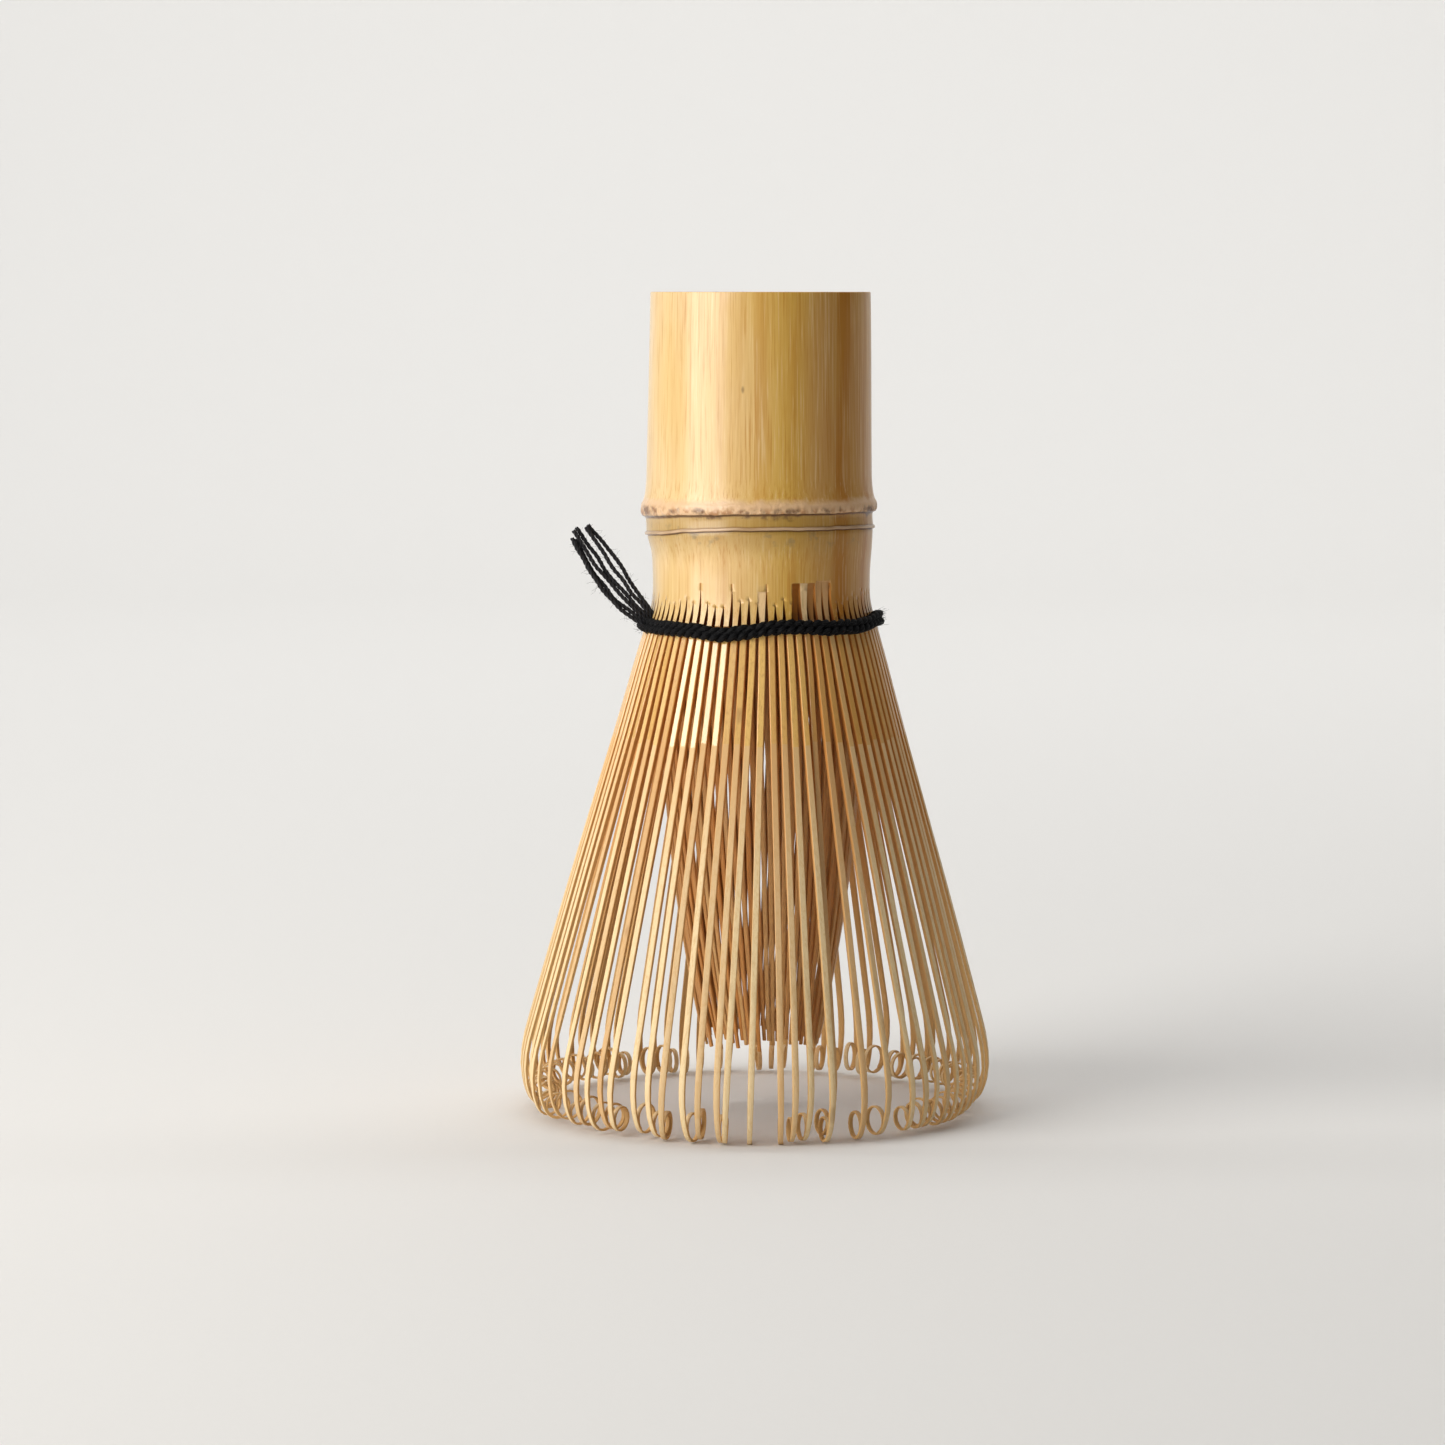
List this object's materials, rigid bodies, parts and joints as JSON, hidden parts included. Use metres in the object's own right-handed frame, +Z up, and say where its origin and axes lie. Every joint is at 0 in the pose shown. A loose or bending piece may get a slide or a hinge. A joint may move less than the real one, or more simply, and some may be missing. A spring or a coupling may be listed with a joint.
{
  "type": "bamboo tea whisk",
  "caption": "Hand whisk with a hollow bamboo handle, a cage of fine splayed tines with curled tips, a bundle of inner tines, and a black thread binding where they part.",
  "frame": {"origin": "on the whisk's axis, at the level of the tine tips that it stands on", "axes": "+Z up along the axis to the handle's cut end, -Y is the front and -X is the side with the thread's knot and ends"},
  "size_m": [0.0654, 0.0654, 0.1117],
  "materials": {
    "culm_skin": "smooth golden bamboo skin, satin gloss, fine lengthwise grain, browner at the node",
    "outer_tine_wood": "split bamboo, glossy skin near the thread and paler shaved wood below",
    "inner_tine_wood": "split bamboo inner wood, matt",
    "black_cotton": "twisted black cotton thread, matt and slightly hairy"
  },
  "bodies": {
    "handle": {"handle": "culm_skin", "thread_under_weave": "black_cotton", "thread_row_01": "black_cotton", "thread_row_02": "black_cotton", "thread_knot": "black_cotton", "thread_tail_01": "black_cotton", "thread_tail_02": "black_cotton", "thread_tail_03": "black_cotton", "thread_tail_04": "black_cotton", "thread_tail_05": "black_cotton", "thread_tail_06": "black_cotton"},
    "outer_tines_01": {"outer_tines_01": "outer_tine_wood"},
    "outer_tines_02": {"outer_tines_02": "outer_tine_wood"},
    "outer_tines_03": {"outer_tines_03": "outer_tine_wood"},
    "outer_tines_04": {"outer_tines_04": "outer_tine_wood"},
    "outer_tines_05": {"outer_tines_05": "outer_tine_wood"},
    "outer_tines_06": {"outer_tines_06": "outer_tine_wood"},
    "outer_tines_07": {"outer_tines_07": "outer_tine_wood"},
    "outer_tines_08": {"outer_tines_08": "outer_tine_wood"},
    "outer_tines_09": {"outer_tines_09": "outer_tine_wood"},
    "outer_tines_10": {"outer_tines_10": "outer_tine_wood"},
    "outer_tines_11": {"outer_tines_11": "outer_tine_wood"},
    "outer_tines_12": {"outer_tines_12": "outer_tine_wood"},
    "outer_tines_13": {"outer_tines_13": "outer_tine_wood"},
    "outer_tines_14": {"outer_tines_14": "outer_tine_wood"},
    "outer_tines_15": {"outer_tines_15": "outer_tine_wood"},
    "outer_tines_16": {"outer_tines_16": "outer_tine_wood"},
    "inner_tines_01": {"inner_tines_01": "inner_tine_wood"},
    "inner_tines_02": {"inner_tines_02": "inner_tine_wood"},
    "inner_tines_03": {"inner_tines_03": "inner_tine_wood"},
    "inner_tines_04": {"inner_tines_04": "inner_tine_wood"},
    "inner_tines_05": {"inner_tines_05": "inner_tine_wood"},
    "inner_tines_06": {"inner_tines_06": "inner_tine_wood"},
    "inner_tines_07": {"inner_tines_07": "inner_tine_wood"},
    "inner_tines_08": {"inner_tines_08": "inner_tine_wood"},
    "inner_tines_09": {"inner_tines_09": "inner_tine_wood"},
    "inner_tines_10": {"inner_tines_10": "inner_tine_wood"},
    "inner_tines_11": {"inner_tines_11": "inner_tine_wood"},
    "inner_tines_12": {"inner_tines_12": "inner_tine_wood"},
    "inner_tines_13": {"inner_tines_13": "inner_tine_wood"},
    "inner_tines_14": {"inner_tines_14": "inner_tine_wood"},
    "inner_tines_15": {"inner_tines_15": "inner_tine_wood"},
    "inner_tines_16": {"inner_tines_16": "inner_tine_wood"}
  },
  "joints": [
    {"name": "outer_flex_01", "type": "hinge", "parent": "handle", "child": "outer_tines_01", "pos_m": [0, -0.01533, 0.0677], "axis": [-1, 0, 0], "range_deg": [-3, 5], "stiffness_Nm_per_rad": 0.05},
    {"name": "outer_flex_02", "type": "hinge", "parent": "handle", "child": "outer_tines_02", "pos_m": [0.00587, -0.01416, 0.0677], "axis": [-0.9239, -0.3827, 0], "range_deg": [-3, 5], "stiffness_Nm_per_rad": 0.05},
    {"name": "outer_flex_03", "type": "hinge", "parent": "handle", "child": "outer_tines_03", "pos_m": [0.01084, -0.01084, 0.0677], "axis": [-0.7071, -0.7071, 0], "range_deg": [-3, 5], "stiffness_Nm_per_rad": 0.05},
    {"name": "outer_flex_04", "type": "hinge", "parent": "handle", "child": "outer_tines_04", "pos_m": [0.01416, -0.00587, 0.0677], "axis": [-0.3827, -0.9239, 0], "range_deg": [-3, 5], "stiffness_Nm_per_rad": 0.05},
    {"name": "outer_flex_05", "type": "hinge", "parent": "handle", "child": "outer_tines_05", "pos_m": [0.01533, 0, 0.0677], "axis": [0, -1, 0], "range_deg": [-3, 5], "stiffness_Nm_per_rad": 0.05},
    {"name": "outer_flex_06", "type": "hinge", "parent": "handle", "child": "outer_tines_06", "pos_m": [0.01416, 0.00587, 0.0677], "axis": [0.3827, -0.9239, 0], "range_deg": [-3, 5], "stiffness_Nm_per_rad": 0.05},
    {"name": "outer_flex_07", "type": "hinge", "parent": "handle", "child": "outer_tines_07", "pos_m": [0.01084, 0.01084, 0.0677], "axis": [0.7071, -0.7071, 0], "range_deg": [-3, 5], "stiffness_Nm_per_rad": 0.05},
    {"name": "outer_flex_08", "type": "hinge", "parent": "handle", "child": "outer_tines_08", "pos_m": [0.00587, 0.01416, 0.0677], "axis": [0.9239, -0.3827, 0], "range_deg": [-3, 5], "stiffness_Nm_per_rad": 0.05},
    {"name": "outer_flex_09", "type": "hinge", "parent": "handle", "child": "outer_tines_09", "pos_m": [0, 0.01533, 0.0677], "axis": [1, 0, 0], "range_deg": [-3, 5], "stiffness_Nm_per_rad": 0.05},
    {"name": "outer_flex_10", "type": "hinge", "parent": "handle", "child": "outer_tines_10", "pos_m": [-0.00587, 0.01416, 0.0677], "axis": [0.9239, 0.3827, 0], "range_deg": [-3, 5], "stiffness_Nm_per_rad": 0.05},
    {"name": "outer_flex_11", "type": "hinge", "parent": "handle", "child": "outer_tines_11", "pos_m": [-0.01084, 0.01084, 0.0677], "axis": [0.7071, 0.7071, 0], "range_deg": [-3, 5], "stiffness_Nm_per_rad": 0.05},
    {"name": "outer_flex_12", "type": "hinge", "parent": "handle", "child": "outer_tines_12", "pos_m": [-0.01416, 0.00587, 0.0677], "axis": [0.3827, 0.9239, 0], "range_deg": [-3, 5], "stiffness_Nm_per_rad": 0.05},
    {"name": "outer_flex_13", "type": "hinge", "parent": "handle", "child": "outer_tines_13", "pos_m": [-0.01533, 0, 0.0677], "axis": [0, 1, 0], "range_deg": [-3, 5], "stiffness_Nm_per_rad": 0.05},
    {"name": "outer_flex_14", "type": "hinge", "parent": "handle", "child": "outer_tines_14", "pos_m": [-0.01416, -0.00587, 0.0677], "axis": [-0.3827, 0.9239, 0], "range_deg": [-3, 5], "stiffness_Nm_per_rad": 0.05},
    {"name": "outer_flex_15", "type": "hinge", "parent": "handle", "child": "outer_tines_15", "pos_m": [-0.01084, -0.01084, 0.0677], "axis": [-0.7071, 0.7071, 0], "range_deg": [-3, 5], "stiffness_Nm_per_rad": 0.05},
    {"name": "outer_flex_16", "type": "hinge", "parent": "handle", "child": "outer_tines_16", "pos_m": [-0.00587, -0.01416, 0.0677], "axis": [-0.9239, 0.3827, 0], "range_deg": [-3, 5], "stiffness_Nm_per_rad": 0.05},
    {"name": "inner_flex_01", "type": "hinge", "parent": "handle", "child": "inner_tines_01", "pos_m": [0.00052, -0.01319, 0.0677], "axis": [-0.9992, -0.0393, 0], "range_deg": [0, 5], "stiffness_Nm_per_rad": 0.02},
    {"name": "inner_flex_02", "type": "hinge", "parent": "handle", "child": "inner_tines_02", "pos_m": [0.00553, -0.01199, 0.0677], "axis": [-0.9081, -0.4187, 0], "range_deg": [0, 5], "stiffness_Nm_per_rad": 0.02},
    {"name": "inner_flex_03", "type": "hinge", "parent": "handle", "child": "inner_tines_03", "pos_m": [0.00969, -0.00896, 0.0677], "axis": [-0.6788, -0.7343, 0], "range_deg": [0, 5], "stiffness_Nm_per_rad": 0.02},
    {"name": "inner_flex_04", "type": "hinge", "parent": "handle", "child": "inner_tines_04", "pos_m": [0.01238, -0.00457, 0.0677], "axis": [-0.3461, -0.9382, 0], "range_deg": [0, 5], "stiffness_Nm_per_rad": 0.02},
    {"name": "inner_flex_05", "type": "hinge", "parent": "handle", "child": "inner_tines_05", "pos_m": [0.01319, 0.00052, 0.0677], "axis": [0.0393, -0.9992, 0], "range_deg": [0, 5], "stiffness_Nm_per_rad": 0.02},
    {"name": "inner_flex_06", "type": "hinge", "parent": "handle", "child": "inner_tines_06", "pos_m": [0.01199, 0.00553, 0.0677], "axis": [0.4187, -0.9081, 0], "range_deg": [0, 5], "stiffness_Nm_per_rad": 0.02},
    {"name": "inner_flex_07", "type": "hinge", "parent": "handle", "child": "inner_tines_07", "pos_m": [0.00896, 0.00969, 0.0677], "axis": [0.7343, -0.6788, 0], "range_deg": [0, 5], "stiffness_Nm_per_rad": 0.02},
    {"name": "inner_flex_08", "type": "hinge", "parent": "handle", "child": "inner_tines_08", "pos_m": [0.00457, 0.01238, 0.0677], "axis": [0.9382, -0.3461, 0], "range_deg": [0, 5], "stiffness_Nm_per_rad": 0.02},
    {"name": "inner_flex_09", "type": "hinge", "parent": "handle", "child": "inner_tines_09", "pos_m": [-0.00052, 0.01319, 0.0677], "axis": [0.9992, 0.0393, 0], "range_deg": [0, 5], "stiffness_Nm_per_rad": 0.02},
    {"name": "inner_flex_10", "type": "hinge", "parent": "handle", "child": "inner_tines_10", "pos_m": [-0.00553, 0.01199, 0.0677], "axis": [0.9081, 0.4187, 0], "range_deg": [0, 5], "stiffness_Nm_per_rad": 0.02},
    {"name": "inner_flex_11", "type": "hinge", "parent": "handle", "child": "inner_tines_11", "pos_m": [-0.00969, 0.00896, 0.0677], "axis": [0.6788, 0.7343, 0], "range_deg": [0, 5], "stiffness_Nm_per_rad": 0.02},
    {"name": "inner_flex_12", "type": "hinge", "parent": "handle", "child": "inner_tines_12", "pos_m": [-0.01238, 0.00457, 0.0677], "axis": [0.3461, 0.9382, 0], "range_deg": [0, 5], "stiffness_Nm_per_rad": 0.02},
    {"name": "inner_flex_13", "type": "hinge", "parent": "handle", "child": "inner_tines_13", "pos_m": [-0.01319, -0.00052, 0.0677], "axis": [-0.0393, 0.9992, 0], "range_deg": [0, 5], "stiffness_Nm_per_rad": 0.02},
    {"name": "inner_flex_14", "type": "hinge", "parent": "handle", "child": "inner_tines_14", "pos_m": [-0.01199, -0.00553, 0.0677], "axis": [-0.4187, 0.9081, 0], "range_deg": [0, 5], "stiffness_Nm_per_rad": 0.02},
    {"name": "inner_flex_15", "type": "hinge", "parent": "handle", "child": "inner_tines_15", "pos_m": [-0.00896, -0.00969, 0.0677], "axis": [-0.7343, 0.6788, 0], "range_deg": [0, 5], "stiffness_Nm_per_rad": 0.02},
    {"name": "inner_flex_16", "type": "hinge", "parent": "handle", "child": "inner_tines_16", "pos_m": [-0.00457, -0.01238, 0.0677], "axis": [-0.9382, 0.3461, 0], "range_deg": [0, 5], "stiffness_Nm_per_rad": 0.02}
  ],
  "couplings": [
    {"joint": "outer_flex_02", "follows": "outer_flex_01", "ratio": 1},
    {"joint": "outer_flex_03", "follows": "outer_flex_01", "ratio": 1},
    {"joint": "outer_flex_04", "follows": "outer_flex_01", "ratio": 1},
    {"joint": "outer_flex_05", "follows": "outer_flex_01", "ratio": 1},
    {"joint": "outer_flex_06", "follows": "outer_flex_01", "ratio": 1},
    {"joint": "outer_flex_07", "follows": "outer_flex_01", "ratio": 1},
    {"joint": "outer_flex_08", "follows": "outer_flex_01", "ratio": 1},
    {"joint": "outer_flex_09", "follows": "outer_flex_01", "ratio": 1},
    {"joint": "outer_flex_10", "follows": "outer_flex_01", "ratio": 1},
    {"joint": "outer_flex_11", "follows": "outer_flex_01", "ratio": 1},
    {"joint": "outer_flex_12", "follows": "outer_flex_01", "ratio": 1},
    {"joint": "outer_flex_13", "follows": "outer_flex_01", "ratio": 1},
    {"joint": "outer_flex_14", "follows": "outer_flex_01", "ratio": 1},
    {"joint": "outer_flex_15", "follows": "outer_flex_01", "ratio": 1},
    {"joint": "outer_flex_16", "follows": "outer_flex_01", "ratio": 1},
    {"joint": "inner_flex_02", "follows": "inner_flex_01", "ratio": 1},
    {"joint": "inner_flex_03", "follows": "inner_flex_01", "ratio": 1},
    {"joint": "inner_flex_04", "follows": "inner_flex_01", "ratio": 1},
    {"joint": "inner_flex_05", "follows": "inner_flex_01", "ratio": 1},
    {"joint": "inner_flex_06", "follows": "inner_flex_01", "ratio": 1},
    {"joint": "inner_flex_07", "follows": "inner_flex_01", "ratio": 1},
    {"joint": "inner_flex_08", "follows": "inner_flex_01", "ratio": 1},
    {"joint": "inner_flex_09", "follows": "inner_flex_01", "ratio": 1},
    {"joint": "inner_flex_10", "follows": "inner_flex_01", "ratio": 1},
    {"joint": "inner_flex_11", "follows": "inner_flex_01", "ratio": 1},
    {"joint": "inner_flex_12", "follows": "inner_flex_01", "ratio": 1},
    {"joint": "inner_flex_13", "follows": "inner_flex_01", "ratio": 1},
    {"joint": "inner_flex_14", "follows": "inner_flex_01", "ratio": 1},
    {"joint": "inner_flex_15", "follows": "inner_flex_01", "ratio": 1},
    {"joint": "inner_flex_16", "follows": "inner_flex_01", "ratio": 1}
  ]
}
